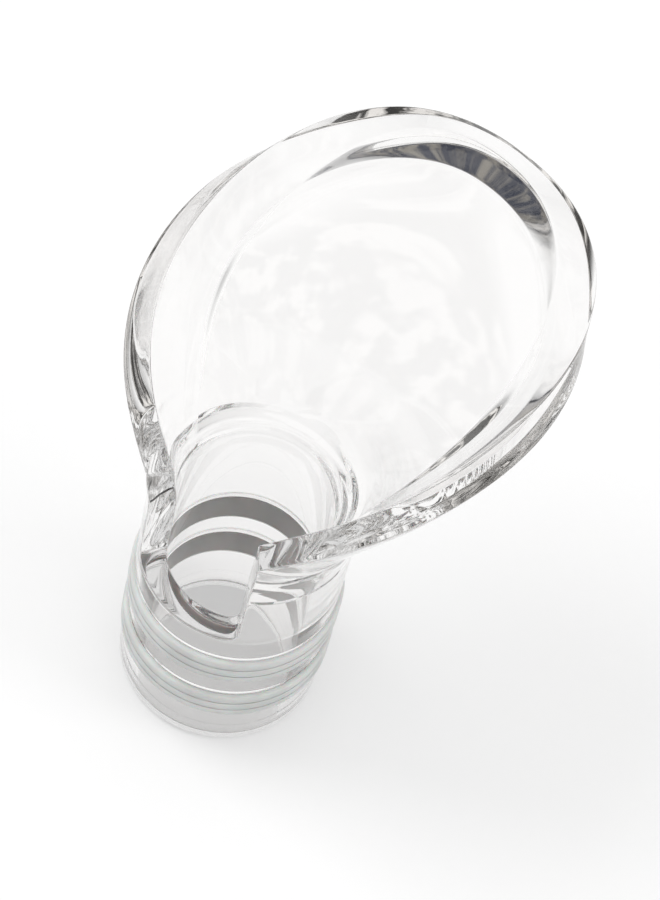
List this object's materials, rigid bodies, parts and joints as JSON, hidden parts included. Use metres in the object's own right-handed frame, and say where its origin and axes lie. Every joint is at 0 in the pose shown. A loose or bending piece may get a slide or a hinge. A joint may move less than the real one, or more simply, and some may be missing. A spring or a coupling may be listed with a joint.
{
  "type": "wine aerator pourer",
  "caption": "Clear scoop-shaped pourer that plugs into a round neck by soft seal rings: open slot at the front, wide oval rim and a thin concave panel that spreads the wine",
  "frame": {"origin": "on the stem's axis, midway between the lands of the two seal rings, 16 mm below the level of the mouth that the pourer is plugged into", "axes": "+Z runs out of the neck along the stem, +Y is the side the rim leans to, the open slot faces -Y, and X = 0 is the mirror plane"},
  "size_m": [0.0344, 0.0379, 0.0502],
  "materials": {
    "clear_body": "polished",
    "seal": "satin"
  },
  "bodies": {
    "root": {"pourer_body": "clear_body", "seal_ring_1": "seal", "seal_ring_2": "seal"}
  },
  "joints": []
}
